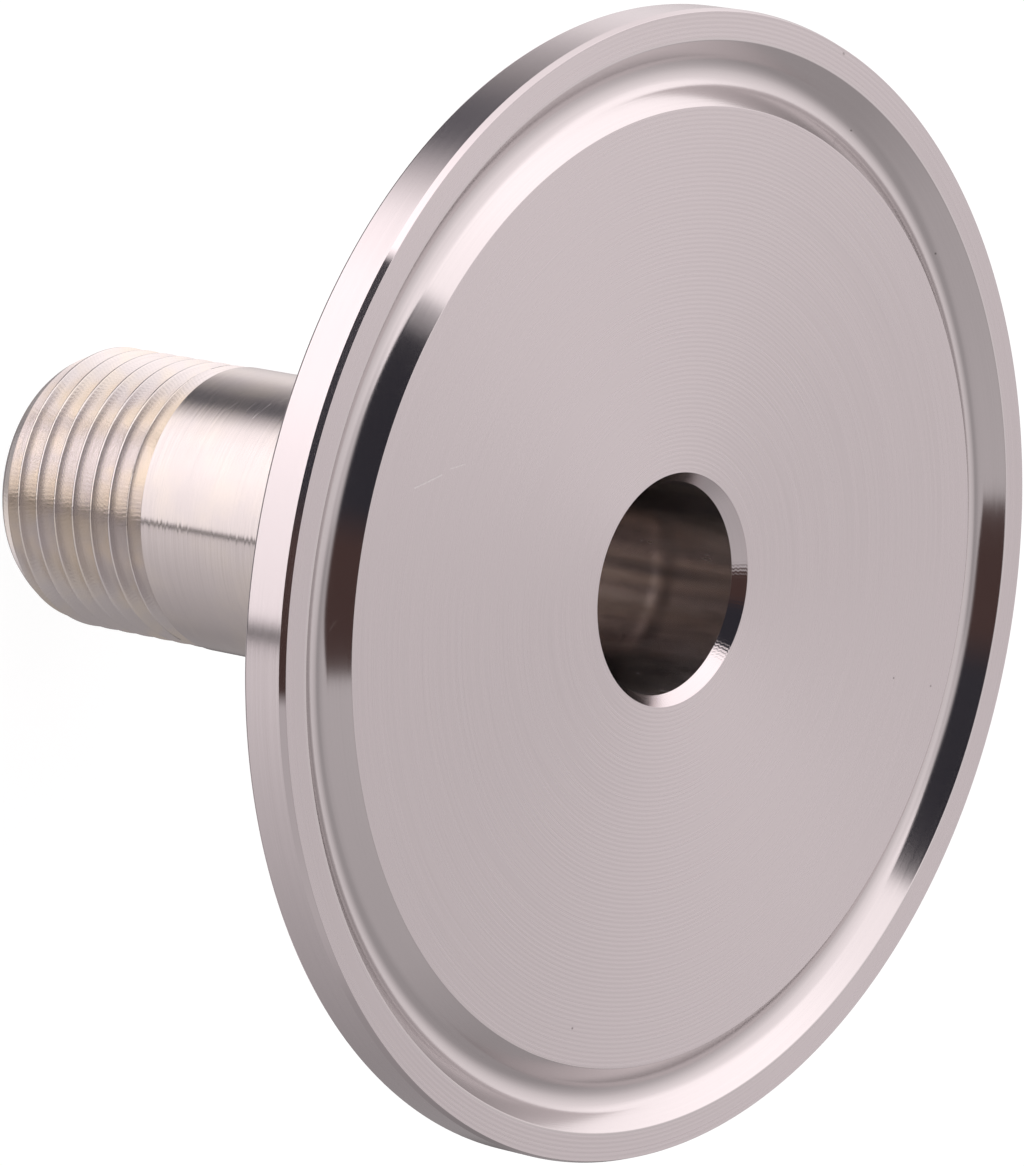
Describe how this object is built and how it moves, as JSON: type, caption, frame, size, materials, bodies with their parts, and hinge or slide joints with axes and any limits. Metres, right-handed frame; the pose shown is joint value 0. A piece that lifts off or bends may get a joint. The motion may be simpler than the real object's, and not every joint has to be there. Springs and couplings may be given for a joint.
{
  "type": "sanitary clamp threaded adapter",
  "caption": "Round clamp flange with a gasket groove in its sealing face and a through bore, turned in one piece with a nipple that ends in a male pipe thread.",
  "frame": {"origin": "on the axis, in the plane of the thread end that the adapter stands on", "axes": "+Z along the bore from the thread end to the sealing face; the part is round, so X and Y are free, and the picture looks from the -Y side"},
  "size_m": [0.064, 0.064, 0.044],
  "materials": {
    "turned_stainless": "stainless steel, fine turned satin on the faces and bright on the rim and barrel"
  },
  "bodies": {
    "root": {"adapter_body": "turned_stainless"}
  },
  "joints": []
}
